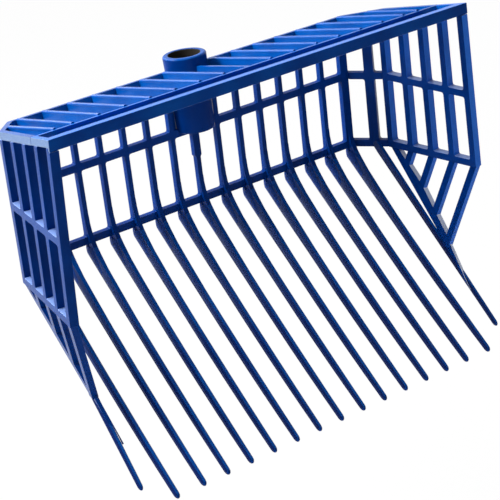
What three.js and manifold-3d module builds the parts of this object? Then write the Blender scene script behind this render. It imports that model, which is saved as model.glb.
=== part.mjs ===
// Shavings fork head: a wide basket fork with a handle socket, an open deck, wall grilles and seventeen tines.
// Millimetres. In the layout X runs across the fork, Y from the back wall to the tine tips, Z up along the
// back wall, and zero is at the middle of the bend rail. Each finished piece is turned half round, moved and
// leant, so that the tines point to -Y, the origin is the middle of the socket mouth and the handle runs up
// along Z. Left and right are as seen from the front, so left is -X.

import * as THREE from 'three';
import { mergeVertices } from 'three/addons/utils/BufferGeometryUtils.js';
import Module from 'manifold-3d';

const wasm = await Module();
wasm.setup();

// Tine row
const tinePitch = 23;
const backTineCount = 15;
const tineLength = 224;
const outerTineLength = 200.2;
const bendRadius = 7;
const tineRootDip = 42.5;
const tineTipDip = 37;
const outerTineDip = 44.4;
const outerTineOverrun = 12;
const outerTineRootWidth = 6.2;
const outerTineTipWidth = 3.8;
const outerTineRootDepth = 8.2;
const outerTineTipDepth = 4.8;
const tineRootWidth = 7;
const tineWaistWidth = 5.8;
const tineTipWidth = 4.4;
const tineRootDepth = 13;
const tineWaistDepth = 8;
const tineTipDepth = 5.6;
const tineTipRound = 4;
const heelReach = 22;
const cornerTineSplay = 0.2;
const outerTineSplayShare = 0.03046953;
const tineWaistShare = 0.36;
const tineRidgeShare = 0.5;
const tineShoulderShare = 0.4;
const tineKeelShare = 0.5;

// Wall grilles
const wallThickness = 5.4;
const barWidth = 4.2;
const sideWallThickness = 7.5;
const sideBarWidth = 6.2;
const cornerBarWidth = 9;
const cornerBarExtra = 3.8;
const railHeight = 6.4;
const upperRailHeight = 64.4;
const windowRadius = 1.8;
const cornerOutset = 23.7;
const sideCornerForward = 31;
const sideFlare = 14;
const sidePanelCount = 4;
const sideCornerLeanDegrees = 0.6;
const sideFrontLeanDegrees = 2.8;
const cornerBarShare = 0.56;
const cornerRunShare = 0.4;
const footFinLength = 46;
const footFinWidth = 2.4;
const footFinThickness = 3;
const footInset = 19;
const footSetback = 21.7;
const footDrop = 77;
const footRailInside = 3;
const footRailRoot = 2.5;
const footRailBelly = 7.3;
const footRailEnd = 4.6;
const footRailBellyShare = 0.46;

// Deck and front rail
const deckHeight = 119.4;
const deckRiseShare = 0.197;
const deckThickness = 6.4;
const slatHeight = 9;
const deckDepth = 128;
const deckRimWidth = 4.5;
const slatWidth = 3;
const innerRibWidth = 3.6;
const grooveWidth = 20;
const ledgeWidth = 10.4;
const ledgeSkin = 2.8;
const frontFaceHeight = 9.5;

// Handle socket
const socketTop = 130.2;
const socketBottom = 64.2;
const socketLeanDegrees = 3.4;
const socketTopRadius = 18.6;
const socketBottomRadius = 16.6;
const boreTopRadius = 13.2;
const boreBottomRadius = 12.6;
const socketFloor = 4;
const socketEdgeRound = 1.2;
const gussetWidth = 6.6;
const gussetBottom = 39.6;
const gussetTaper = 1.2;
const socketWebThickness = 2;

// Room left where one piece is cut by its neighbour
const seam = 0.3;

const socketSegments = 64;
const tineSteps = 9;
const bendSteps = 4;
const tipSteps = 3;
const heelSteps = 6;
const tipTurnShare = 0.88;
const fineSteps = 8;
const cornerSteps = 2;
const reach = 900;

const plastic = (name, colour) =>
  new THREE.MeshStandardMaterial({ name, color: colour, roughness: 0.32, metalness: 0 });

// Solids are made by three.js and handed over as merged meshes for joining and cutting.
function toSolid(geometry) {
  const plain = geometry.index ? geometry.toNonIndexed() : geometry.clone();
  plain.deleteAttribute('normal');
  plain.deleteAttribute('uv');
  const merged = mergeVertices(plain, 1e-4);
  return new wasm.Manifold(new wasm.Mesh({
    numProp: 3,
    vertProperties: new Float32Array(merged.attributes.position.array),
    triVerts: new Uint32Array(merged.index.array),
  }));
}

function toGeometry(solid) {
  const mesh = solid.getMesh();
  const geometry = new THREE.BufferGeometry();
  const positions = [];
  for (const index of mesh.triVerts) {
    const at = index * mesh.numProp;
    positions.push(
      mesh.vertProperties[at],
      mesh.vertProperties[at + 1],
      mesh.vertProperties[at + 2],
    );
  }
  geometry.setAttribute('position', new THREE.Float32BufferAttribute(positions, 3));
  geometry.computeVertexNormals();
  return geometry;
}

function join(solids) {
  return solids.reduce((whole, next) => whole.add(next));
}

// The same solid on the other side of the fork. Two corners of each triangle change places.
function mirrored(geometry) {
  const other = geometry.index ? geometry.toNonIndexed() : geometry.clone();
  other.scale(-1, 1, 1);
  const places = other.getAttribute('position');
  const second = new THREE.Vector3();
  const third = new THREE.Vector3();
  for (let i = 2; i < places.count; i += 3) {
    second.fromBufferAttribute(places, i - 1);
    third.fromBufferAttribute(places, i);
    places.setXYZ(i - 1, ...third);
    places.setXYZ(i, ...second);
  }
  other.computeVertexNormals();
  return other;
}

// A closed outline with small round corners.
function roundedPoints(points, radius) {
  const path = [];
  points.forEach((corner, i) => {
    const before = points[(i + points.length - 1) % points.length];
    const after = points[(i + 1) % points.length];
    const toBefore = before.clone().sub(corner);
    const toAfter = after.clone().sub(corner);
    const run = Math.min(radius, toBefore.length() * cornerRunShare, toAfter.length() * cornerRunShare);
    const start = corner.clone().addScaledVector(toBefore.normalize(), run);
    const end = corner.clone().addScaledVector(toAfter.normalize(), run);
    const curve = new THREE.QuadraticBezierCurve(start, corner, end);
    path.push(...curve.getPoints(cornerSteps));
  });
  return path;
}

const point = (u, v) => new THREE.Vector2(u, v);

// A plate with an outline in a plane, thickness centred on the plane.
function plate(outline, thickness, frame) {
  const geometry = new THREE.ExtrudeGeometry(new THREE.Shape(outline), {
    depth: thickness,
    bevelEnabled: false,
    steps: 1,
  });
  geometry.translate(0, 0, -thickness / 2);
  geometry.applyMatrix4(frame);
  return toSolid(geometry);
}

function frameAt(origin, along, up) {
  const u = along.clone().normalize();
  const v = up.clone().addScaledVector(u, -up.dot(u)).normalize();
  const w = new THREE.Vector3().crossVectors(u, v);
  const frame = new THREE.Matrix4().makeBasis(u, v, w);
  frame.setPosition(origin);
  return frame;
}

const acrossAxis = new THREE.Vector3(1, 0, 0);
const forwardAxis = new THREE.Vector3(0, 1, 0);
const upAxis = new THREE.Vector3(0, 0, 1);
const downAxis = new THREE.Vector3(0, 0, -1);

// Layout of the plan: the back wall, the cut corner, the side wall
const grooveFront = deckDepth - ledgeWidth;
const ribFront = grooveFront - grooveWidth;
const innerRibForward = ribFront - innerRibWidth;
const middleIndex = (backTineCount - 1) / 2;
const outermostBar = middleIndex * tinePitch;
const backEdge = outermostBar + barWidth / 2 + cornerBarExtra;
const sideCornerAcross = backEdge + cornerOutset;
const sideFrontAcross = sideCornerAcross + sideFlare;
const sideFrontForward = deckDepth - sideBarWidth / 2;
const footAcross = sideFrontAcross - footInset;
const footForward = sideFrontForward - footSetback;
const cornerStart = new THREE.Vector3(backEdge, 0, 0);
const sideCorner = new THREE.Vector3(sideCornerAcross, sideCornerForward, 0);
const sideFront = new THREE.Vector3(sideFrontAcross, sideFrontForward, 0);
const foot = new THREE.Vector3(footAcross, footForward, -footDrop);
const cornerDirection = sideCorner.clone().sub(cornerStart).normalize();
const sideDirection = sideFront.clone().sub(sideCorner).normalize();
const sideLength = sideFront.distanceTo(sideCorner);
const cornerMiddle = cornerStart.clone().lerp(sideCorner, cornerBarShare);

const deckTopAt = (forward) => deckHeight + deckRiseShare * forward;

// Everything on one side of a plane, as a very large block.
function blockBeyond(origin, normal) {
  const helper = Math.abs(normal.z) > Math.abs(normal.y) ? forwardAxis : upAxis;
  const along = helper.clone().cross(normal);
  const frame = frameAt(origin, along, normal.clone().cross(along));
  const geometry = new THREE.BoxGeometry(reach, reach, reach);
  geometry.translate(0, 0, reach / 2);
  geometry.applyMatrix4(frame);
  return toSolid(geometry);
}

const deckNormal = new THREE.Vector3(0, -deckRiseShare, 1).normalize();
const aboveWalls = blockBeyond(
  new THREE.Vector3(0, 0, deckHeight - deckThickness - seam),
  deckNormal,
);

// The handle socket is a turned, slightly tapering cup that is closed below.
function socketProfile(grow) {
  const top = socketTop;
  const floorHeight = socketBottom + socketFloor;
  if (grow > 0) {
    return [
      point(0, socketBottom - grow),
      point(socketBottomRadius + grow, socketBottom - grow),
      point(socketTopRadius + grow, top + grow),
      point(0, top + grow),
    ];
  }
  return [
    point(0, socketBottom),
    point(socketBottomRadius - socketEdgeRound, socketBottom),
    point(socketBottomRadius, socketBottom + socketEdgeRound),
    point(socketTopRadius, top - socketEdgeRound),
    point(socketTopRadius - socketEdgeRound, top),
    point(boreTopRadius + socketEdgeRound / 2, top),
    point(boreTopRadius, top - socketEdgeRound),
    point(boreBottomRadius, floorHeight),
    point(0, floorHeight),
  ];
}

// Its axis leans from the back wall, with the mouth to the back.
const socketLean = THREE.MathUtils.degToRad(socketLeanDegrees);

function turned(profile) {
  const geometry = new THREE.LatheGeometry(profile, socketSegments);
  geometry.rotateX(Math.PI / 2);
  geometry.translate(0, 0, -socketTop);
  geometry.rotateX(socketLean);
  geometry.translate(0, 0, socketTop);
  return toSolid(geometry);
}

const socketSolid = turned(socketProfile(0));
const socketRoom = turned(socketProfile(seam));

// Back wall
function backGrille() {
  const frame = frameAt(new THREE.Vector3(0, 0, 0), acrossAxis, upAxis);
  const low = -railHeight / 2;
  const high = deckHeight;
  let wall = plate(
    [point(-backEdge, low), point(backEdge, low), point(backEdge, high), point(-backEdge, high)],
    wallThickness,
    frame,
  );
  const lowerBottom = railHeight / 2;
  const lowerTop = upperRailHeight - railHeight / 2;
  const upperBottom = upperRailHeight + railHeight / 2;
  const upperTop = high + tinePitch;
  const openings = [];
  const open = (corners) => {
    openings.push(plate(roundedPoints(corners, windowRadius), wallThickness * 2, frame));
  };
  for (let i = 0; i < backTineCount - 1; i += 1) {
    const left = (i - middleIndex) * tinePitch + barWidth / 2;
    const right = left + tinePitch - barWidth;
    if (i === middleIndex - 1) {
      open([
        point(left, lowerBottom),
        point(right, lowerBottom),
        point(right, gussetBottom - gussetTaper),
        point(-gussetWidth / 2, gussetBottom),
        point(-gussetWidth / 2, lowerTop),
        point(left, lowerTop),
      ]);
    } else if (i === middleIndex) {
      open([
        point(left, lowerBottom),
        point(right, lowerBottom),
        point(right, lowerTop),
        point(gussetWidth / 2, lowerTop),
        point(gussetWidth / 2, gussetBottom),
        point(left, gussetBottom - gussetTaper),
      ]);
    } else {
      open([
        point(left, lowerBottom),
        point(right, lowerBottom),
        point(right, lowerTop),
        point(left, lowerTop),
      ]);
    }
    const besideSocket = i === middleIndex - 1;
    if (i === middleIndex) continue;
    const farRight = besideSocket ? right + tinePitch : right;
    open([
      point(left, upperBottom),
      point(farRight, upperBottom),
      point(farRight, upperTop),
      point(left, upperTop),
    ]);
  }
  // A thin web at the back joins the socket to the bars beside it.
  const web = plate([
    point(-tinePitch, upperRailHeight),
    point(tinePitch, upperRailHeight),
    point(tinePitch, high),
    point(-tinePitch, high),
  ], socketWebThickness, frameAt(
    new THREE.Vector3(0, (socketWebThickness - wallThickness) / 2, 0),
    acrossAxis,
    upAxis,
  ));
  wall = wall.subtract(join(openings)).add(web);
  return wall.subtract(aboveWalls).subtract(socketRoom);
}

// A grille with upright bars between a start and an end, used for the cut corners and the side walls.
function uprightGrille(start, direction, from, to, bars, thickness) {
  const inward = new THREE.Vector3(-direction.y, direction.x, 0);
  const middle = start.clone().addScaledVector(inward, (thickness - wallThickness) / 2);
  const frame = frameAt(middle, direction, upAxis);
  const low = -railHeight / 2;
  const high = deckTopAt(deckDepth);
  const wall = plate(
    [point(from, low), point(to, low), point(to, high), point(from, high)],
    thickness,
    frame,
  );
  const openings = [];
  for (let i = 0; i < bars.length - 1; i += 1) {
    const left = bars[i];
    const right = bars[i + 1];
    const rows = [
      [railHeight / 2, upperRailHeight - railHeight / 2],
      [upperRailHeight + railHeight / 2, high + tinePitch],
    ];
    for (const [bottom, top] of rows) {
      openings.push(plate(
        roundedPoints([
          point(left.end, bottom),
          point(right.start, bottom),
          point(right.start, top),
          point(left.end, top),
        ], windowRadius),
        thickness * 3,
        frame,
      ));
    }
  }
  return wall.subtract(join(openings)).subtract(aboveWalls);
}

function cornerGrille() {
  const length = sideCorner.distanceTo(cornerStart);
  const middle = length * cornerBarShare;
  const past = wallThickness * 2;
  const wall = uprightGrille(cornerStart, cornerDirection, -past, length + past, [
    { start: 0, end: 0 },
    { start: middle - cornerBarWidth / 2, end: middle + cornerBarWidth / 2 },
    { start: length, end: length },
  ], wallThickness);
  const besideBack = blockBeyond(cornerStart, acrossAxis.clone().negate());
  const besidePost = blockBeyond(
    sideCorner.clone().addScaledVector(sideDirection, -sideBarWidth / 2 - seam),
    sideDirection,
  );
  return wall.subtract(besideBack).subtract(besidePost);
}

function sideGrille() {
  const step = sideLength / sidePanelCount;
  const bars = [];
  for (let i = 0; i <= sidePanelCount; i += 1) {
    bars.push({ start: step * i - sideBarWidth / 2, end: step * i + sideBarWidth / 2 });
  }
  const wall = uprightGrille(
    sideCorner,
    sideDirection,
    -sideBarWidth / 2,
    sideLength + sideBarWidth / 2,
    bars,
    sideWallThickness,
  );
  const lipRoom = slopingBox(
    outermostBar,
    sideFrontAcross + tinePitch,
    deckDepth - ledgeSkin - seam,
    deckDepth + tinePitch,
    -frontFaceHeight - seam,
    tinePitch,
  );
  return wall.subtract(lipRoom);
}

const outerDip = THREE.MathUtils.degToRad(outerTineDip);
const outerTineSplay = outerTineSplayShare * outerTineLength;

// The lower side panel lies in the plane of the side rail and the foot of the front post.
function lowerSidePanel(tineRoom) {
  const frame = frameAt(sideCorner, sideDirection, foot.clone().sub(sideFront));
  const inverse = frame.clone().invert();
  const corner = point(0, 0);
  const front = point(sideLength, 0);
  const inPlane = (place) => {
    const flat = place.clone().applyMatrix4(inverse);
    return point(flat.x, flat.y);
  };
  const toe = inPlane(foot);
  const beam = (a, b, width, extra) => {
    const along = b.clone().sub(a).normalize();
    const side = point(-along.y, along.x).multiplyScalar(width / 2);
    const start = a.clone().addScaledVector(along, -extra);
    const end = b.clone().addScaledVector(along, extra);
    return plate([
      start.clone().sub(side),
      end.clone().sub(side),
      end.clone().add(side),
      start.clone().add(side),
    ], wallThickness, frame);
  };
  // The foot rail swells towards the outer tine and follows it down to the foot.
  const railWay = toe.clone().normalize();
  const railSide = point(-railWay.y, railWay.x).multiplyScalar(-1);
  const onRail = (along, aside) => toe.clone().multiplyScalar(along).addScaledVector(railSide, aside);
  const footRail = plate([
    onRail(0, -footRailInside),
    onRail(0, footRailRoot),
    onRail(footRailBellyShare, footRailBelly),
    onRail(1, footRailEnd),
    onRail(1, 0).addScaledVector(railWay, sideBarWidth / 2),
    onRail(1, -footRailInside / 2),
  ].reverse(), wallThickness, frame);
  const beams = [
    footRail,
    beam(front, toe, sideBarWidth, sideBarWidth / 2),
  ];
  for (let i = 1; i < sidePanelCount; i += 1) {
    const share = i / sidePanelCount;
    const top = front.clone().multiplyScalar(share);
    const bottom = toe.clone().multiplyScalar(share);
    beams.push(beam(top, bottom, sideBarWidth, 0));
  }
  const outerWay = new THREE.Vector3(outerTineSplay, outerTineLength * Math.cos(outerDip), 0);
  outerWay.z = -outerTineLength * Math.sin(outerDip);
  outerWay.normalize();
  const besideFoot = foot.clone().sub(cornerMiddle).dot(outerWay);
  const finEnd = inPlane(cornerMiddle.clone().addScaledVector(outerWay, besideFoot + footFinLength));
  const finWay = finEnd.clone().sub(toe).normalize();
  const finSide = point(-finWay.y, finWay.x).multiplyScalar(footFinWidth);
  beams.push(plate([toe.clone().sub(finSide), finEnd, toe.clone().add(finSide)], footFinThickness, frame));
  const railUnderside = blockBeyond(new THREE.Vector3(0, 0, -railHeight / 2 - seam), upAxis);
  return join(beams).subtract(railUnderside).subtract(tineRoom);
}

// Deck: a plate with a sloping top, cut into slats
function planAt(offset, forwardEnd) {
  const shift = (direction) => new THREE.Vector2(direction.y, -direction.x).multiplyScalar(offset);
  const cornerShift = shift(cornerDirection);
  const sideShift = shift(sideDirection);
  const meet = (a, da, b, db) => {
    const cross = da.x * db.y - da.y * db.x;
    const t = ((b.x - a.x) * db.y - (b.y - a.y) * db.x) / cross;
    return point(a.x + da.x * t, a.y + da.y * t);
  };
  const onCorner = point(cornerStart.x + cornerShift.x, cornerStart.y + cornerShift.y);
  const onSide = point(sideCorner.x + sideShift.x, sideCorner.y + sideShift.y);
  const cornerWay = point(cornerDirection.x, cornerDirection.y);
  const sideWay = point(sideDirection.x, sideDirection.y);
  const first = meet(point(0, -offset), point(1, 0), onCorner, cornerWay);
  const second = meet(onCorner, cornerWay, onSide, sideWay);
  const third = meet(onSide, sideWay, point(0, forwardEnd), point(1, 0));
  return [first, second, third];
}

function fullOutline(offset, forwardEnd) {
  const right = planAt(offset, forwardEnd);
  const left = right.map((corner) => point(-corner.x, corner.y)).reverse();
  return [...left, ...right];
}

function sloping(outline, bottom, top) {
  const geometry = new THREE.ExtrudeGeometry(new THREE.Shape(outline), {
    depth: top - bottom,
    bevelEnabled: false,
    steps: 1,
  });
  geometry.translate(0, 0, bottom + deckHeight);
  const slope = new THREE.Matrix4().set(
    1, 0, 0, 0,
    0, 1, 0, 0,
    0, deckRiseShare, 1, 0,
    0, 0, 0, 1,
  );
  geometry.applyMatrix4(slope);
  return toSolid(geometry);
}

function slopingBox(left, right, back, front, bottom, top) {
  return sloping(
    [point(left, back), point(right, back), point(right, front), point(left, front)],
    bottom,
    top,
  );
}

const outerSlat = cornerMiddle.x;

// A slat is deeper than the rim, and its deeper part starts clear of the walls.
function slatAt(across) {
  const left = across - slatWidth / 2;
  const right = across + slatWidth / 2;
  const clear = sloping(
    fullOutline(-wallThickness / 2 - seam, innerRibForward),
    -slatHeight - tinePitch,
    tinePitch,
  );
  const upper = slopingBox(left, right, -wallThickness, innerRibForward, -deckThickness, 0);
  const lower = slopingBox(left, right, -wallThickness, innerRibForward, -slatHeight, 0);
  return upper.add(lower.intersect(clear));
}

// The socket parts the rear rim, so the deck is two halves and a middle slat that starts at the socket.
function deckHalf() {
  const board = sloping(fullOutline(wallThickness / 2, innerRibForward), -deckThickness, 0);
  const inside = sloping(
    fullOutline(wallThickness / 2 - deckRimWidth, innerRibForward + tinePitch),
    -deckThickness - tinePitch,
    tinePitch,
  );
  const slats = [slatAt(outerSlat)];
  for (let i = 1; i <= middleIndex; i += 1) slats.push(slatAt(i * tinePitch));
  const allSlats = join(slats);
  const inSlats = allSlats.intersect(inside);
  const otherSide = blockBeyond(new THREE.Vector3(0, 0, 0), acrossAxis.clone().negate());
  return board.subtract(inside).add(inSlats).subtract(otherSide).subtract(socketRoom);
}

function middleSlat() {
  const behind = blockBeyond(new THREE.Vector3(0, 0, 0), forwardAxis.clone().negate());
  return slatAt(0).subtract(behind).subtract(socketRoom);
}

// Front rail: an inner rib, a sunk groove, and an outer ledge with a tall front face
function frontRail() {
  const face = deckDepth - ledgeSkin;
  const floorTop = -deckThickness + ledgeSkin;
  const half = sideFrontAcross + tinePitch;
  const profile = [
    point(innerRibForward, -deckThickness),
    point(grooveFront + ledgeSkin, -deckThickness),
    point(grooveFront + ledgeSkin, -ledgeSkin),
    point(face, -ledgeSkin),
    point(face, -frontFaceHeight),
    point(deckDepth, -frontFaceHeight),
    point(deckDepth, 0),
    point(grooveFront, 0),
    point(grooveFront, floorTop),
    point(ribFront, floorTop),
    point(ribFront, 0),
    point(innerRibForward, 0),
  ].map((corner) => point(corner.x, corner.y + deckTopAt(corner.x)));
  const length = half * 2;
  const frame = frameAt(new THREE.Vector3(0, 0, 0), forwardAxis, upAxis);
  let rail = plate(profile, length, frame);
  const cellDepth = frontFaceHeight + tinePitch;
  const cellStart = outerSlat + slatWidth / 2;
  const cells = [-1, 1].map((side) => slopingBox(
    Math.min(side * cellStart, side * half),
    Math.max(side * cellStart, side * half),
    ribFront,
    grooveFront,
    -cellDepth,
    cellDepth,
  ));
  rail = rail.subtract(join(cells));
  const outerBoard = sloping(
    fullOutline(wallThickness / 2, deckDepth),
    -cellDepth,
    cellDepth,
  );
  const innerBoard = sloping(
    fullOutline(wallThickness / 2 - deckRimWidth, deckDepth + tinePitch),
    -cellDepth * 2,
    cellDepth * 2,
  );
  const band = slopingBox(-half, half, innerRibForward, deckDepth, -deckThickness, 0);
  const rims = outerBoard.subtract(innerBoard).intersect(band);
  return rail.intersect(outerBoard).add(rims);
}

// Tines: a tapering loft along a bend and a gently curved run
function roundedTip(last, dip) {
  const stations = [];
  for (let i = 1; i <= tipSteps; i += 1) {
    const turn = (Math.PI / 2) * tipTurnShare * (i / tipSteps);
    stations.push({
      forward: last.forward + Math.cos(dip) * tineTipRound * Math.sin(turn),
      height: last.height - Math.sin(dip) * tineTipRound * Math.sin(turn),
      dip,
      along: 1,
      shrink: Math.cos(turn),
    });
  }
  return stations;
}

function tinePath() {
  const stations = [];
  const rootDip = THREE.MathUtils.degToRad(tineRootDip);
  const tipDip = THREE.MathUtils.degToRad(tineTipDip);
  const startDip = Math.PI / 2;
  let forward = 0;
  let height = -railHeight / 2;
  stations.push({ forward, height, dip: startDip, along: 0 });
  for (let i = 1; i <= bendSteps; i += 1) {
    const dip = startDip + ((rootDip - startDip) * i) / bendSteps;
    forward = bendRadius * (1 - Math.sin(dip));
    height = -railHeight / 2 - bendRadius * Math.cos(dip);
    stations.push({ forward, height, dip, along: 0 });
  }
  const fine = tineSteps * fineSteps;
  const step = (tineLength - tineTipRound) / fine;
  for (let i = 1; i <= fine; i += 1) {
    const share = (i - 0.5) / fine;
    const dip = rootDip + (tipDip - rootDip) * share;
    forward += Math.cos(dip) * step;
    height -= Math.sin(dip) * step;
    if (i % fineSteps === 0) stations.push({ forward, height, dip, along: i / fine });
  }
  return [...stations, ...roundedTip(stations[stations.length - 1], tipDip)];
}

// The outer tines leave the corner bar in a straight line. They start inside it and are cut at its face.
function straightPath() {
  const dip = THREE.MathUtils.degToRad(outerTineDip);
  const stations = [];
  const body = outerTineLength - tineTipRound;
  for (let i = 0; i <= tineSteps; i += 1) {
    const along = i / tineSteps;
    const run = -outerTineOverrun + (body + outerTineOverrun) * along;
    stations.push({
      forward: Math.cos(dip) * run,
      height: -Math.sin(dip) * run,
      dip,
      along,
    });
  }
  return [...stations, ...roundedTip(stations[stations.length - 1], dip)];
}

// Sizes fall quickly from the root to the waist and slowly from there to the tip.
function taper(root, waist, tip, along) {
  if (along < tineWaistShare) return root + ((waist - root) * along) / tineWaistShare;
  const share = (along - tineWaistShare) / (1 - tineWaistShare);
  return waist + (tip - waist) * share * share;
}

function tineSizes(station, i) {
  const inBend = Math.min(1, i / bendSteps);
  const rootWidth = barWidth + (tineRootWidth - barWidth) * inBend;
  const rootDepth = wallThickness + (tineRootDepth - wallThickness) * inBend;
  return [
    taper(rootWidth, tineWaistWidth, tineTipWidth, station.along),
    taper(rootDepth, tineWaistDepth, tineTipDepth, station.along),
  ];
}

function outerTineSizes(station) {
  const blend = (root, tip) => root + (tip - root) * station.along;
  return [
    blend(outerTineRootWidth, outerTineTipWidth),
    blend(outerTineRootDepth, outerTineTipDepth),
  ];
}

function tineGeometry(start, direction, stations, sizes, splay, grow) {
  const total = stations[stations.length - 1].forward;
  const aside = new THREE.Vector3(direction.y, -direction.x, 0);
  const rings = stations.map((station, i) => {
    const shrink = station.shrink ?? 1;
    const [fullWidth, fullDepth] = sizes(station, i);
    const width = fullWidth * shrink + grow * 2;
    const depth = fullDepth * shrink + grow * 2;
    const normal = direction.clone().multiplyScalar(Math.sin(station.dip));
    normal.z = Math.cos(station.dip);
    const centre = start.clone()
      .addScaledVector(direction, station.forward)
      .addScaledVector(aside, (splay * station.forward) / total);
    centre.z = start.z + station.height;
    const section = [
      [width / 2 * tineRidgeShare, depth / 2],
      [width / 2, depth / 2 * tineShoulderShare],
      [width / 2, -depth / 2 * tineShoulderShare],
      [width / 2 * tineKeelShare, -depth / 2],
      [-width / 2 * tineKeelShare, -depth / 2],
      [-width / 2, -depth / 2 * tineShoulderShare],
      [-width / 2, depth / 2 * tineShoulderShare],
      [-width / 2 * tineRidgeShare, depth / 2],
    ];
    return section.map(([a, b]) => centre.clone()
      .addScaledVector(aside, a)
      .addScaledVector(normal, b));
  });
  const count = rings[0].length;
  const positions = [];
  const triangle = (a, b, c) => positions.push(a.x, a.y, a.z, b.x, b.y, b.z, c.x, c.y, c.z);
  for (let i = 0; i < rings.length - 1; i += 1) {
    for (let k = 0; k < count; k += 1) {
      const next = (k + 1) % count;
      triangle(rings[i][k], rings[i][next], rings[i + 1][next]);
      triangle(rings[i][k], rings[i + 1][next], rings[i + 1][k]);
    }
  }
  const firstRing = rings[0];
  const lastRing = rings[rings.length - 1];
  for (let k = 1; k < count - 1; k += 1) {
    triangle(firstRing[0], firstRing[k + 1], firstRing[k]);
    triangle(lastRing[0], lastRing[k], lastRing[k + 1]);
  }
  const geometry = new THREE.BufferGeometry();
  geometry.setAttribute('position', new THREE.Float32BufferAttribute(positions, 3));
  geometry.computeVertexNormals();
  return geometry;
}

const cornerTineStart = outermostBar + cornerBarExtra / 2;

// The heel is a web in the corner between a bar and its tine. Its front edge is a smooth curve from the
// bar's front face to the tine's ridge.
function heel(start) {
  const dip = THREE.MathUtils.degToRad(tineRootDip);
  const normal = point(Math.sin(dip), Math.cos(dip));
  const way = point(Math.cos(dip), -Math.sin(dip));
  const bendEnd = point(
    bendRadius * (1 - Math.sin(dip)),
    -railHeight / 2 - bendRadius * Math.cos(dip),
  );
  const front = wallThickness / 2 + seam;
  const ridge = bendEnd.clone().addScaledVector(normal, tineRootDepth / 2);
  const corner = point(front, ridge.y + (ridge.x - front) * Math.tan(dip));
  const far = corner.clone().addScaledVector(way, heelReach);
  const curve = new THREE.QuadraticBezierCurve(point(front, corner.y + heelReach), corner, far);
  const buried = (place) => place.clone().addScaledVector(normal, -tineWaistDepth / 2);
  return plate([
    point(front, -railHeight / 2),
    buried(ridge),
    buried(far),
    ...curve.getPoints(heelSteps).reverse(),
  ], barWidth, frameAt(start, forwardAxis, upAxis));
}

function outerTine(grow) {
  const whole = toSolid(tineGeometry(
    cornerMiddle,
    forwardAxis,
    straightPath(),
    outerTineSizes,
    outerTineSplay,
    grow,
  ));
  const outward = new THREE.Vector3(cornerDirection.y, -cornerDirection.x, 0);
  const face = cornerStart.clone().addScaledVector(outward, -wallThickness / 2 - seam);
  return whole.subtract(blockBeyond(face, outward));
}

// The side walls lean: they are closer together at the deck than at the bend rail. The lean grows from
// nothing at the back wall's edge to its full amount at the side wall, and along the side wall to the front.
function leaning(geometry) {
  const between = (value, from, to) => THREE.MathUtils.clamp((value - from) / (to - from), 0, 1);
  const cornerLean = Math.tan(THREE.MathUtils.degToRad(sideCornerLeanDegrees));
  const frontLean = Math.tan(THREE.MathUtils.degToRad(sideFrontLeanDegrees));
  const places = geometry.getAttribute('position');
  for (let i = 0; i < places.count; i += 1) {
    const across = places.getX(i);
    const sideShare = between(Math.abs(across), backEdge, sideCornerAcross - wallThickness);
    const frontShare = between(places.getY(i), sideCornerForward, sideFrontForward);
    const lean = sideShare * THREE.MathUtils.lerp(cornerLean, frontLean, frontShare);
    places.setX(i, across - Math.sign(across) * lean * Math.max(0, places.getZ(i)));
  }
  geometry.computeVertexNormals();
  return geometry;
}

const fork = new THREE.Group();
fork.name = 'shavings_fork';

const royalBlue = 0x1436c4;

function addNode(name, geometry) {
  const mesh = new THREE.Mesh(geometry, plastic(`${name}_plastic`, royalBlue));
  mesh.name = name;
  mesh.geometry.rotateZ(Math.PI);
  mesh.geometry.translate(0, 0, -socketTop);
  mesh.geometry.rotateX(socketLean);
  fork.add(mesh);
}

const outerTineRoom = outerTine(seam);

addNode('handle_socket', toGeometry(socketSolid));
addNode('back_wall_grille', toGeometry(backGrille()));

const cornerShape = leaning(toGeometry(cornerGrille()));
addNode('corner_grille_right', mirrored(cornerShape));
addNode('corner_grille_left', cornerShape);

const sideShape = leaning(toGeometry(sideGrille()));
addNode('side_grille_right', mirrored(sideShape));
addNode('side_grille_left', sideShape);

const lowerShape = toGeometry(lowerSidePanel(outerTineRoom));
addNode('lower_side_panel_right', mirrored(lowerShape));
addNode('lower_side_panel_left', lowerShape);

const deckShape = leaning(toGeometry(deckHalf()));
addNode('deck_grille_right', mirrored(deckShape));
addNode('deck_grille_left', deckShape);
addNode('deck_middle_slat', toGeometry(middleSlat()));
addNode('front_rail', leaning(toGeometry(frontRail())));

const outerShape = toGeometry(outerTine(0));
const innerPath = tinePath();
const label = (index) => String(index).padStart(2, '0');
addNode(`tine_${label(backTineCount + 2)}`, mirrored(outerShape));
for (let i = 0; i < backTineCount; i += 1) {
  const place = middleIndex - i;
  const outermost = Math.abs(place) === middleIndex;
  const across = outermost ? Math.sign(place) * cornerTineStart : place * tinePitch;
  const splay = outermost ? Math.sign(place) * cornerTineSplay : 0;
  const start = new THREE.Vector3(across, 0, 0);
  const tine = toSolid(tineGeometry(start, forwardAxis, innerPath, tineSizes, splay, 0));
  addNode(`tine_${label(i + 2)}`, toGeometry(tine.add(heel(start))));
}
addNode(`tine_${label(1)}`, outerShape);

export default fork;
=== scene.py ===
"""Shavings fork head on a pale floor, seen from the front left and a little above."""

import math

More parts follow.
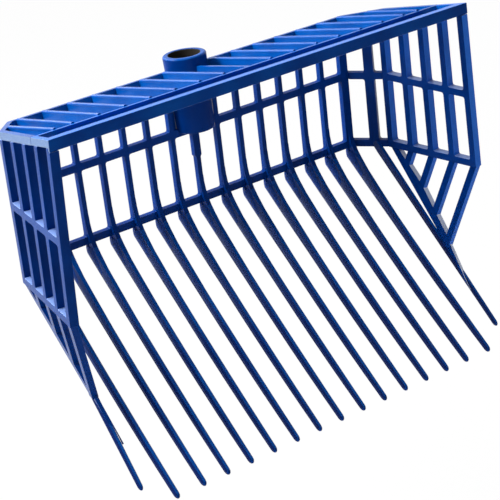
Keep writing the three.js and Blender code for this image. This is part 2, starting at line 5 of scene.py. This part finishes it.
import bpy
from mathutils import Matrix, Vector


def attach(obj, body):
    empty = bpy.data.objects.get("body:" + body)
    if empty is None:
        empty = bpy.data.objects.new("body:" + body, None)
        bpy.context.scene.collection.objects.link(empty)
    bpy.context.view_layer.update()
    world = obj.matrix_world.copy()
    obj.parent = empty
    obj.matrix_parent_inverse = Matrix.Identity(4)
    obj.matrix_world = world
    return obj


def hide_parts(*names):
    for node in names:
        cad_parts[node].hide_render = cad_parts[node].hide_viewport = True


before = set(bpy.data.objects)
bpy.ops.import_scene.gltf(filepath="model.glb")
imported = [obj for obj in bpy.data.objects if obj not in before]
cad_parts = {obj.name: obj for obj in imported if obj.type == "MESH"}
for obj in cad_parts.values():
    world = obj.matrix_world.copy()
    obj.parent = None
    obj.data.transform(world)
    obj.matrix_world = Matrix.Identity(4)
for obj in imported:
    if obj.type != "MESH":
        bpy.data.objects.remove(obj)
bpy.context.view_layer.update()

# Clean faces: lengths in metres, angles in degrees
WELD_DISTANCE = 0.00001
PAIR_ANGLE = 4.0
PAIR_SHAPE_ANGLE = 180.0
FLAT_ANGLE = 0.2

# Rounded edges
EDGE_ROUND = 0.0005
TINE_EDGE_ROUND = 0.0004
SOCKET_EDGE_ROUND = 0.0008
EDGE_ROUND_STEPS = 2
SHARP_ANGLE = 28.0
SMOOTH_ANGLE = 60.0

# Slats of the deck and the beads along them. The facing values are parts of a face's normal.
SLAT_LEAST_LENGTH = 0.025
SLAT_MOST_WIDTH = 0.004
SLAT_MOST_SLANT = 0.1
DECK_TOP_FACING = 0.9
SURFACE_TOLERANCE = 0.0002
BEAD_RADIUS = 0.0017
BEAD_SINK = 0.0006
BEAD_END_GAP = 0.0008
BEAD_SIDES = 20

# Tines: flanks sunk a little, and the end of the heel, whose places are Y and Z
FLANK_BORDER = 0.0007
FLANK_DEPTH = 0.0003
FLANK_START = 0.02
SUNK_FLANK_FACING = 0.93
FLANK_FACING = 0.8
RIDGE_FACING = 0.5
HEEL_START = 0.003
HEEL_GREY_END = 0.012
FLANK_BLUE_START = 0.085
HEEL_END = (-0.01057, -0.14616)
HEEL_RUN_OUT = (-0.00572, -0.00698)
HEEL_END_HALF_WIDTH = 0.00155
HEEL_TOLERANCE = 0.0003

# Side walls, deck rim and front rail: starts are distances in front of the back wall
EDGE_FACING = 0.6
EDGE_MOST_TURN = 0.5
LEFTWARD_FACING = 0.6
SILL_FACING = 0.4
RIM_OUT = 0.19
FRONT_FACING = 0.6
LEDGE_FACING = 0.7
LEDGE_START = 0.1176
TROUGH_START = 0.098

# Socket
SOCKET_SHADE_TOP = -0.004
BORE_RADIUS = 0.0135
BORE_FLOOR = -0.0625
BORE_EDGE = 0.0006

# Colours, as sRGB hex
MOULDED_BLUE = "0352A8"
DEEP_BLUE = "024596"
SHADED_WALL_BLUE = "013683"
WALL_SHADE = "012C70"
FLANK_SHADE_BLUE = "021B54"
HEEL_REFLECTION_GREY = "2E3F72"
SILL_REFLECTION_BLUE = "7F9CDA"
PALE_SILL_REFLECTION = "D0DCF6"
SHADED_SIDE_BLUE = "0B3A80"
SIDE_SHADE = "093475"
RIM_SHEEN_BLUE = "5F779E"
LIT_EDGE_BLUE = "1F6FE0"
TROUGH_LIGHT_BLUE = "0A66CC"
BORE_SHADE_BROWN = "2E2B28"
PALE_FLOOR = "F4F4F4"
WHITE = "FFFFFF"

# Roughness of each finish, from the smoothest to the roughest spot
POLISHED = (0.15, 0.25)
GLOSSY = (0.2, 0.3)
ERODED = (0.34, 0.38)
SATIN = (0.4, 0.5)
DUSTY = (0.7, 0.8)

# Strength of the grain, and how much each surface mirrors. The index of the plastic is set low, so that
# the white room doesn't veil the blue.
FAINT_GRAIN = 0.01
MOULD_GRAIN = 0.02
DUST_GRAIN = 0.2
SILL_SHINE = 1.0
GLOSS_SHINE = 0.6
FLANK_SHINE = 0.5
WALL_SHINE = 0.3
DULL_SHINE = 0.1
PLASTIC_INDEX = 1.16
PALE_SILL_INDEX = 1.45

# Patterns in the plastic, lengths in metres
FLOW_LENGTH = 0.040
FLOW_ROUGHNESS = 0.45
FLOW_RANGE = (0.35, 0.65)
GRAIN_LENGTH = 0.0008
GRAIN_ROUGHNESS = 0.6
GRAIN_RANGE = (0.3, 0.7)
GRAIN_HEIGHT = 0.00005
PATTERN_DETAIL = 2.0

# The curve between an sRGB value and linear light
SRGB_TOE = 0.04045
SRGB_TOE_SLOPE = 12.92
SRGB_OFFSET = 0.055
SRGB_POWER = 2.4
HEX_MOST = 255.0

# Sockets of a colour mix node, by number, because several share a name
MIX_FACTOR = 0
MIX_FIRST = 6
MIX_SECOND = 7
MIX_COLOUR = 2

# Camera, room and lamps: metres, degrees, watts
CAMERA_PLACE = (-0.70979, -1.17126, 0.34663)
CAMERA_TURN = (68.6573, 8.0422, -35.5919)
CAMERA_LENS_MM = 121.418
CAMERA_SENSOR_MM = 36.0
CAMERA_REACH = 20.0
FLOOR_HEIGHT = -0.42
FLOOR_SIZE = 12.0
FLOOR_WHITE_SHARE = 0.98
SEEN_LIGHT = 1.0
ROOM_LIGHT = 0.05
LAMP_TARGET = (0.0, -0.09, -0.13)
LAMPS = (
    # name, place, side, power
    ("key_softbox", (-1.4, 0.45, 1.0), 0.8, 46.0),
    ("front_softbox", (-0.3, -0.9, 1.5), 0.8, 8.5),
    ("back_softbox", (-0.35, 1.25, 0.95), 1.2, 34.0),
)


def linear(hex_colour):
    """The sRGB hex value as a linear colour."""
    values = []
    for i in (0, 2, 4):
        c = int(hex_colour[i : i + 2], 16) / HEX_MOST
        toe = c / SRGB_TOE_SLOPE
        curve = ((c + SRGB_OFFSET) / (1 + SRGB_OFFSET)) ** SRGB_POWER
        values.append(toe if c <= SRGB_TOE else curve)
    return (*values, 1.0)


def add(tree, kind, settings=None, links=None):
    """Adds a node with its settings and links. A link is input name or number -> output socket."""
    node = tree.nodes.new(kind)
    for name, value in (settings or {}).items():
        if isinstance(name, int) or name in node.inputs:
            node.inputs[name].default_value = value
        else:
            setattr(node, name, value)
    for name, socket in (links or {}).items():
        tree.links.new(socket, node.inputs[name])
    return node


def new_material(name):
    """An empty node material and its tree."""
    material = bpy.data.materials.new(name)
    material.use_nodes = True
    tree = material.node_tree
    tree.nodes.clear()
    return material, tree


def moulded(name, dark, light, gloss, grain, shine, index=PLASTIC_INDEX):
    """A moulded surface: broad flow waves in the colour, and fine grain in the gloss and the relief."""
    material, tree = new_material(name)
    place = add(tree, "ShaderNodeTexCoord")
    # Waves that the melt leaves as it flows into the mould
    flow = add(
        tree,
        "ShaderNodeTexNoise",
        {"Scale": 1 / FLOW_LENGTH, "Detail": PATTERN_DETAIL, "Roughness": FLOW_ROUGHNESS},
        {"Vector": place.outputs["Object"]},
    )
    # The grain of the mould's skin
    skin = add(
        tree,
        "ShaderNodeTexNoise",
        {"Scale": 1 / GRAIN_LENGTH, "Detail": PATTERN_DETAIL, "Roughness": GRAIN_ROUGHNESS},
        {"Vector": place.outputs["Object"]},
    )
    tint = add(tree, "ShaderNodeValToRGB", {}, {"Fac": flow.outputs["Fac"]})
    for stop, position, colour in zip(tint.color_ramp.elements, FLOW_RANGE, (dark, light)):
        stop.position = position
        stop.color = linear(colour)
    sheen = add(
        tree,
        "ShaderNodeMapRange",
        {
            "From Min": GRAIN_RANGE[0],
            "From Max": GRAIN_RANGE[1],
            "To Min": gloss[0],
            "To Max": gloss[1],
        },
        {"Value": skin.outputs["Fac"]},
    )
    relief = add(
        tree,
        "ShaderNodeBump",
        {"Strength": grain, "Distance": GRAIN_HEIGHT},
        {"Height": skin.outputs["Fac"]},
    )
    body = add(
        tree,
        "ShaderNodeBsdfPrincipled",
        {"Metallic": 0.0, "IOR": index, "Specular IOR Level": shine},
        {
            "Base Color": tint.outputs["Color"],
            "Roughness": sheen.outputs["Result"],
            "Normal": relief.outputs["Normal"],
        },
    )
    add(tree, "ShaderNodeOutputMaterial", {}, {"Surface": body.outputs["BSDF"]})
    return material


def paint_heel_reflection(material):
    """Fades the flank's colour along the tine, from the painted grey reflection at the heel to the
    painted navy shade.
    """
    tree = material.node_tree
    body = next(node for node in tree.nodes if node.type == "BSDF_PRINCIPLED")
    place = add(tree, "ShaderNodeTexCoord")
    split = add(tree, "ShaderNodeSeparateXYZ", {}, {"Vector": place.outputs["Object"]})
    fade = add(
        tree,
        "ShaderNodeMapRange",
        {"From Min": -FLANK_BLUE_START, "From Max": -HEEL_GREY_END},
        {"Value": split.outputs["Y"]},
    )
    tint = add(
        tree,
        "ShaderNodeMix",
        {"data_type": "RGBA", MIX_SECOND: linear(HEEL_REFLECTION_GREY)},
        {
            MIX_FACTOR: fade.outputs["Result"],
            MIX_FIRST: body.inputs["Base Color"].links[0].from_socket,
        },
    )
    tree.links.new(tint.outputs[MIX_COLOUR], body.inputs["Base Color"])


# Injection moulded plastic: a deep blue with a wet-looking gloss and pale lines on its round edges.
gloss_blue = moulded(
    "polycarbonate_gloss_moulded", DEEP_BLUE, MOULDED_BLUE, GLOSSY, MOULD_GRAIN, GLOSS_SHINE
)

# The walls at the back are the same plastic with painted shade: a shade deeper than the deck and the
# front rail.
shaded_wall_blue = moulded(
    "polycarbonate_gloss_back_walls_painted_shade", WALL_SHADE, SHADED_WALL_BLUE, GLOSSY, MOULD_GRAIN, WALL_SHINE
)

# The flanks of the tines come from a dull part of the mould. Their colour is painted: a painted grey
# reflection at the heels, and painted navy shade farther out, where the tine is thin.
shaded_flank_blue = moulded(
    "polycarbonate_spark_eroded_painted_shade", FLANK_SHADE_BLUE, FLANK_SHADE_BLUE, ERODED, FAINT_GRAIN, FLANK_SHINE
)
paint_heel_reflection(shaded_flank_blue)

# The upper edges of the side windows are polished flat, and painted pale blue: a painted reflection of
# the pale room.
sill_reflection_blue = moulded(
    "polycarbonate_polished_sills_painted_reflection", SILL_REFLECTION_BLUE, SILL_REFLECTION_BLUE, POLISHED, MOULD_GRAIN, SILL_SHINE
)

# The same edges in the far lower panel face the white background, and are painted pale: a painted
# reflection.
pale_sill_reflection = moulded(
    "polycarbonate_polished_low_sills_painted_reflection",
    PALE_SILL_REFLECTION,
    PALE_SILL_REFLECTION,
    POLISHED,
    MOULD_GRAIN,
    SILL_SHINE,
    PALE_SILL_INDEX,
)

# The near side wall is the same plastic, painted in a duller and greyer blue: painted shade.
shaded_side_blue = moulded(
    "polycarbonate_gloss_near_side_painted_shade", SIDE_SHADE, SHADED_SIDE_BLUE, GLOSSY, MOULD_GRAIN, GLOSS_SHINE
)

# The near rim of the deck is painted pale and greyish: a painted sheen where it shines towards the
# camera.
rim_sheen_blue = moulded(
    "polycarbonate_near_rim_painted_sheen", RIM_SHEEN_BLUE, RIM_SHEEN_BLUE, GLOSSY, MOULD_GRAIN, GLOSS_SHINE
)

# The front edges of the far side wall get painted light, and read as bright blue strips.
edge_blue = moulded(
    "polycarbonate_far_edges_painted_light", LIT_EDGE_BLUE, LIT_EDGE_BLUE, GLOSSY, MOULD_GRAIN, GLOSS_SHINE
)

# The top of the front ledge shines less than the rest, and is painted a deeper blue: painted shade, a
# plain mid blue without a bright sheen.
ledge_blue = moulded(
    "polycarbonate_satin_ledge_painted_shade", WALL_SHADE, SHADED_WALL_BLUE, SATIN, MOULD_GRAIN, DULL_SHINE
)

# The front rail's face is painted a shade between the walls at the back and the deck: painted shade.
front_blue = moulded(
    "polycarbonate_front_face_painted_shade", SHADED_WALL_BLUE, DEEP_BLUE, GLOSSY, MOULD_GRAIN, WALL_SHINE
)

# The trough behind the front ledge is painted lighter: painted light standing in for the light from its
# own walls.
trough_blue = moulded(
    "polycarbonate_trough_painted_light", TROUGH_LIGHT_BLUE, TROUGH_LIGHT_BLUE, GLOSSY, MOULD_GRAIN, GLOSS_SHINE
)

# The bore is painted a flat brown-grey that hardly shines: painted shade deep inside it.
shaded_bore_brown = moulded("bore_dull_painted_shade", BORE_SHADE_BROWN, BORE_SHADE_BROWN, DUSTY, DUST_GRAIN, DULL_SHINE)


def deselect():
    bpy.ops.object.select_all(action="DESELECT")


def make_active(piece):
    deselect()
    piece.select_set(True)
    bpy.context.view_layer.objects.active = piece


def merged_copy(node_name, piece_name):
    """A copy of a CAD node with its loose triangles merged into clean faces."""
    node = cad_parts[node_name]
    piece = bpy.data.objects.new(piece_name, node.data.copy())
    bpy.context.scene.collection.objects.link(piece)
    piece.matrix_world = node.matrix_world.copy()
    make_active(piece)
    bpy.ops.object.transform_apply(location=True, rotation=True, scale=True)
    bpy.ops.object.mode_set(mode="EDIT")
    bpy.ops.mesh.select_all(action="SELECT")
    bpy.ops.mesh.remove_doubles(threshold=WELD_DISTANCE)
    if node_name.startswith(("tine", "lower_side")):
        bpy.ops.mesh.tris_convert_to_quads(
            face_threshold=math.radians(PAIR_ANGLE),
            shape_threshold=math.radians(PAIR_SHAPE_ANGLE),
        )
    else:
        bpy.ops.mesh.dissolve_limited(angle_limit=math.radians(FLAT_ANGLE))
    bpy.ops.mesh.normals_make_consistent(inside=False)
    bpy.ops.object.mode_set(mode="OBJECT")
    return piece


def select_faces(piece, wanted):
    """Selects the faces that a test of centre and normal wants, goes to edit mode and counts them."""
    make_active(piece)
    bpy.ops.object.mode_set(mode="EDIT")
    bpy.ops.mesh.select_mode(type="FACE")
    bpy.ops.mesh.select_all(action="DESELECT")
    bpy.ops.object.mode_set(mode="OBJECT")
    count = 0
    for face in piece.data.polygons:
        face.select = bool(wanted(face.center, face.normal))
        count += face.select
    bpy.ops.object.mode_set(mode="EDIT")
    return count


def paint(piece, material, wanted):
    """Gives a material to the faces that a test of centre and normal wants."""
    piece.data.materials.append(material)
    slot = len(piece.data.materials) - 1
    for face in piece.data.polygons:
        if wanted(face.center, face.normal):
            face.material_index = slot


def sink_flanks(piece):
    """The sides of a tine are sunk a little between its ridge and its keel."""
    count = select_faces(
        piece,
        lambda centre, normal: abs(normal.x) > SUNK_FLANK_FACING and centre.y < -FLANK_START,
    )
    if count:
        bpy.ops.mesh.inset(thickness=FLANK_BORDER, depth=-FLANK_DEPTH, use_boundary=True)
    bpy.ops.object.mode_set(mode="OBJECT")


def run_out_heel(piece):
    """The curved heel runs out on the tine's ridge without a step."""
    middle = sum(v.co.x for v in piece.data.vertices) / len(piece.data.vertices)
    for vertex in piece.data.vertices:
        place = vertex.co
        if max(abs(place.y - HEEL_END[0]), abs(place.z - HEEL_END[1])) < HEEL_TOLERANCE:
            place.x = middle + math.copysign(HEEL_END_HALF_WIDTH, place.x - middle)
            place.y += HEEL_RUN_OUT[0]
            place.z += HEEL_RUN_OUT[1]


def dress_tine(piece):
    """Dull sunk flanks and a glossy ridge, from just in front of the bend rail."""
    run_out_heel(piece)
    sink_flanks(piece)
    # The flanks get painted shade, with a painted grey reflection at the heels.
    paint(
        piece,
        shaded_flank_blue,
        lambda centre, normal: centre.y < -HEEL_START and abs(normal.x) > FLANK_FACING,
    )
    paint(
        piece,
        gloss_blue,
        lambda centre, normal: centre.y < -HEEL_START and normal.z > RIDGE_FACING,
    )


def on_bar_edge(normal):
    """Whether a face is the front or back edge of a bar in a side wall."""
    return abs(normal.y) > EDGE_FACING and abs(normal.x) < EDGE_MOST_TURN


def dress_side(piece, node_name):
    """Side walls and lower side panels. The faces turned left, which are the outside of the near wall and
    the inside of the far one, and the bar edges get painted shade, the far wall's front edges painted
    light, and the sills a painted reflection."""
    # Painted shade on the front and back edges of the bars.
    paint(piece, shaded_wall_blue, lambda centre, normal: on_bar_edge(normal))
    if node_name.endswith("_right"):
        # On the far wall: painted shade on the inside faces, and painted light on the front edges.
        paint(piece, shaded_wall_blue, lambda centre, normal: normal.x < -LEFTWARD_FACING)
        paint(piece, edge_blue, lambda centre, normal: on_bar_edge(normal) and normal.y < 0)
    else:
        # On the near wall: painted shade on the outside faces.
        paint(piece, shaded_side_blue, lambda centre, normal: normal.x < -LEFTWARD_FACING)
    # The sills get a painted reflection, paler in the far lower panel.
    if node_name != "lower_side_panel_left":
        sill = pale_sill_reflection if node_name == "lower_side_panel_right" else sill_reflection_blue
        paint(piece, sill, lambda centre, normal: normal.z > SILL_FACING)


def dress_front_rail(piece):
    """The face and the top of the ledge get painted shade, and the floor of the trough painted light."""
    paint(
        piece,
        front_blue,
        lambda centre, normal: normal.y < -FRONT_FACING and centre.y < -LEDGE_START,
    )
    paint(
        piece,
        ledge_blue,
        lambda centre, normal: normal.z > LEDGE_FACING and centre.y < -LEDGE_START,
    )
    paint(
        piece,
        trough_blue,
        lambda centre, normal: normal.z > LEDGE_FACING and -LEDGE_START < centre.y < -TROUGH_START,
    )


def dress_socket(piece):
    """The outside is painted a deeper shade below the mouth, and the bore is painted with brown-grey
    shade.
    """
    paint(piece, shaded_wall_blue, lambda centre, normal: centre.z < SOCKET_SHADE_TOP)
    paint(
        piece,
        shaded_bore_brown,
        lambda centre, normal: math.hypot(centre.x, centre.y) < BORE_RADIUS
        and BORE_FLOOR < centre.z < -BORE_EDGE,
    )


def slat_lines(piece):
    """The middle line of each slat's top, found from the long edges of the deck's top face."""
    mesh = piece.data
    top = max(mesh.polygons, key=lambda face: face.area * (face.normal.z > DECK_TOP_FACING))
    edges = []
    for edge in mesh.edges:
        a, b = (mesh.vertices[i].co.copy() for i in edge.vertices)
        way = b - a
        near_top = max(abs((p - top.center).dot(top.normal)) for p in (a, b)) < SURFACE_TOLERANCE
        straight = abs(way.x) < SLAT_MOST_SLANT * way.length
        if near_top and straight and way.length > SLAT_LEAST_LENGTH:
            edges.append((a, b) if a.y < b.y else (b, a))
    edges.sort(key=lambda pair: pair[0].x)
    lines = []
    for one, two in zip(edges, edges[1:]):
        if abs(two[0].x - one[0].x) < SLAT_MOST_WIDTH:
            lines.append(((one[0] + two[0]) / 2, (one[1] + two[1]) / 2))
    return lines, top.normal.copy()


def add_beads(piece):
    """Each slat of the deck carries a round bead along its top, nearly from end to end."""
    lines, up = slat_lines(piece)
    beads = []
    for start, end in lines:
        way = end - start
        bpy.ops.mesh.primitive_cylinder_add(
            vertices=BEAD_SIDES,
            radius=BEAD_RADIUS,
            depth=way.length - 2 * BEAD_END_GAP,
            location=(start + end) / 2 - up * BEAD_SINK,
            rotation=way.to_track_quat("Z", "Y").to_euler(),
        )
        bead = bpy.context.active_object
        bead.data.materials.append(gloss_blue)
        beads.append(bead)
    make_active(piece)
    for bead in beads:
        bead.select_set(True)
    bpy.ops.object.join()


def soften(piece, width):
    """Rounds the sharp edges as a mould does, and keeps the flat faces flat in the shading."""
    make_active(piece)
    bevel = piece.modifiers.new("edge_round", "BEVEL")
    bevel.width = width
    bevel.segments = EDGE_ROUND_STEPS
    bevel.limit_method = "ANGLE"
    bevel.angle_limit = math.radians(SHARP_ANGLE)
    bevel.use_clamp_overlap = True
    bpy.ops.object.modifier_apply(modifier=bevel.name)
    bpy.ops.object.shade_smooth_by_angle(angle=math.radians(SMOOTH_ANGLE))
    even = piece.modifiers.new("flat_faces", "WEIGHTED_NORMAL")
    even.keep_sharp = True
    bpy.ops.object.modifier_apply(modifier=even.name)


def finish_piece(piece, node_name):
    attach(piece, "root")
    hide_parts(node_name)


def build_piece(node_name):
    """The finished piece that takes the place of one CAD node."""
    piece = merged_copy(node_name, node_name + "_moulding")
    piece.data.materials.clear()
    # The pieces at the back and the tines take the painted shade of the back walls.
    at_back = node_name.startswith(("back_wall", "corner_grille", "tine"))
    piece.data.materials.append(shaded_wall_blue if at_back else gloss_blue)
    width = EDGE_ROUND
    if node_name.startswith("tine"):
        width = TINE_EDGE_ROUND
        dress_tine(piece)
    if node_name.startswith(("side_grille", "lower_side")):
        dress_side(piece, node_name)
    if node_name in ("deck_grille_left", "front_rail"):
        # A pale painted sheen on the near rim of the deck.
        paint(
            piece,
            rim_sheen_blue,
            lambda centre, normal: normal.x < -LEFTWARD_FACING and centre.x < -RIM_OUT,
        )
    if node_name == "front_rail":
        dress_front_rail(piece)
    if node_name == "handle_socket":
        width = SOCKET_EDGE_ROUND
        dress_socket(piece)
    if node_name.startswith("deck_grille"):
        add_beads(piece)
    soften(piece, width)
    finish_piece(piece, node_name)


def photo_camera():
    """The camera of the photograph: in front, to the left, above, and a little rolled."""
    data = bpy.data.cameras.new("photo_camera")
    data.sensor_width = CAMERA_SENSOR_MM
    data.lens = CAMERA_LENS_MM
    data.clip_end = CAMERA_REACH
    camera = bpy.data.objects.new("photo_camera", data)
    bpy.context.scene.collection.objects.link(camera)
    camera.location = CAMERA_PLACE
    camera.rotation_euler = tuple(math.radians(angle) for angle in CAMERA_TURN)
    bpy.context.scene.camera = camera


def softbox(name, place, size, power):
    """A square soft lamp that faces the middle of the fork."""
    data = bpy.data.lights.new(name, "AREA")
    data.shape = "SQUARE"
    data.size = size
    data.energy = power
    lamp = bpy.data.objects.new(name, data)
    bpy.context.scene.collection.objects.link(lamp)
    lamp.location = place
    way = Vector(LAMP_TARGET) - Vector(place)
    lamp.rotation_euler = way.to_track_quat("-Z", "Y").to_euler()


def seen_rays(tree):
    """One for rays that show the background: from the camera, by reflection or through glass."""
    rays = add(tree, "ShaderNodeLightPath")
    mirror = add(
        tree,
        "ShaderNodeMath",
        {"operation": "MAXIMUM"},
        {0: rays.outputs["Is Glossy Ray"], 1: rays.outputs["Is Transmission Ray"]},
    )
    return add(
        tree,
        "ShaderNodeMath",
        {"operation": "MAXIMUM"},
        {0: rays.outputs["Is Camera Ray"], 1: mirror.outputs[0]},
    ).outputs[0]


def pale_floor():
    """A pale matt sweep. Where it is seen it is brightened to white, and it keeps the fork's shadow."""
    deselect()
    bpy.ops.mesh.primitive_plane_add(size=FLOOR_SIZE, location=(0.0, 0.0, FLOOR_HEIGHT))
    floor = bpy.context.active_object
    floor.name = "floor"
    material, tree = new_material("matt_paper_sweep")
    paper = add(tree, "ShaderNodeBsdfDiffuse", {"Color": linear(PALE_FLOOR)})
    glow = add(tree, "ShaderNodeEmission", {"Color": linear(WHITE), "Strength": SEEN_LIGHT})
    share = add(
        tree,
        "ShaderNodeMath",
        {"operation": "MULTIPLY", 1: FLOOR_WHITE_SHARE},
        {0: seen_rays(tree)},
    )
    mix = add(
        tree,
        "ShaderNodeMixShader",
        {},
        {0: share.outputs[0], 1: paper.outputs["BSDF"], 2: glow.outputs["Emission"]},
    )
    add(tree, "ShaderNodeOutputMaterial", {}, {"Surface": mix.outputs["Shader"]})
    floor.data.materials.append(material)


def studio_world():
    """White to the camera and in reflections, faint soft light on everything else."""
    world = bpy.data.worlds.new("studio_world")
    bpy.context.scene.world = world
    world.use_nodes = True
    tree = world.node_tree
    tree.nodes.clear()
    room = add(tree, "ShaderNodeBackground", {"Color": linear(WHITE), "Strength": ROOM_LIGHT})
    white = add(tree, "ShaderNodeBackground", {"Color": linear(WHITE), "Strength": SEEN_LIGHT})
    mix = add(
        tree,
        "ShaderNodeMixShader",
        {},
        {0: seen_rays(tree), 1: room.outputs["Background"], 2: white.outputs["Background"]},
    )
    add(tree, "ShaderNodeOutputWorld", {}, {"Surface": mix.outputs["Shader"]})


for node_name in sorted(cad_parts):
    build_piece(node_name)

photo_camera()
pale_floor()
studio_world()
for lamp in LAMPS:
    softbox(*lamp)

bpy.context.scene.view_settings.view_transform = "Standard"
